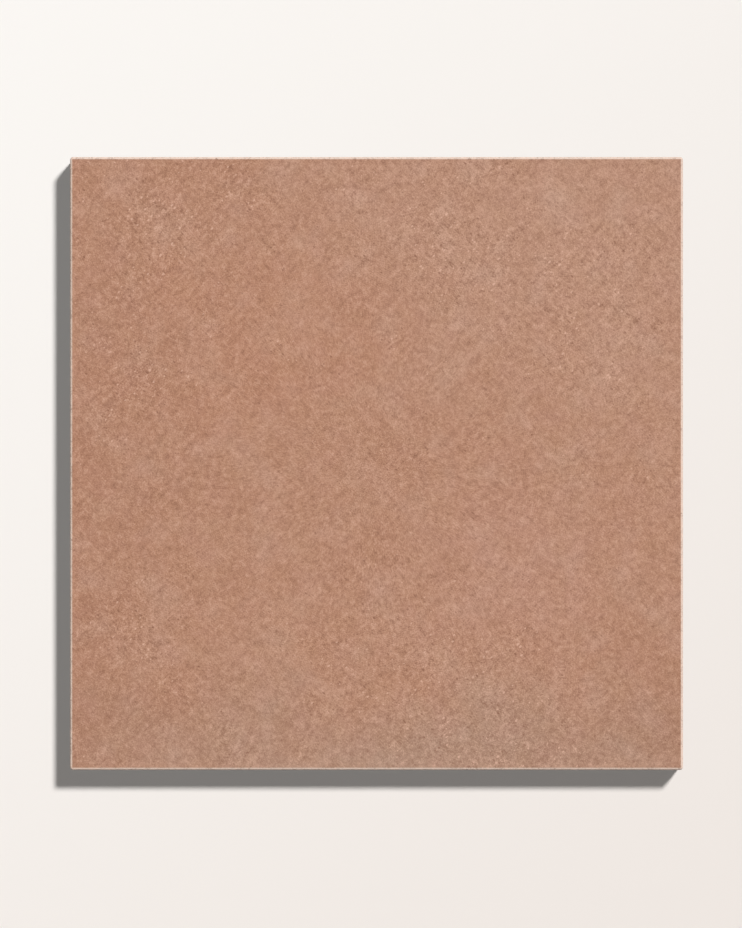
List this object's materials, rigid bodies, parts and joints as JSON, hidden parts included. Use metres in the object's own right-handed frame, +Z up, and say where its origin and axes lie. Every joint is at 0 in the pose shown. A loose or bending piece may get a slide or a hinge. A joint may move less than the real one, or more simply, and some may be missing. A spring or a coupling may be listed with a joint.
{
  "type": "porcelain field tile",
  "caption": "Square matte terracotta-coloured porcelain field tile, pressed as one piece, with a fine rounded arris, drafted sides and a waffle of shallow keying cells on its back.",
  "frame": {"origin": "middle of the bedding plane, which is the plane of the ribs and border on the tile's back", "axes": "+Z up through the face, +X along the tile's width, +Y along its length, which is up in the picture"},
  "size_m": [0.2, 0.2, 0.009],
  "materials": {
    "porcelain": "matte"
  },
  "bodies": {
    "root": {"field_tile": "porcelain"}
  },
  "joints": []
}
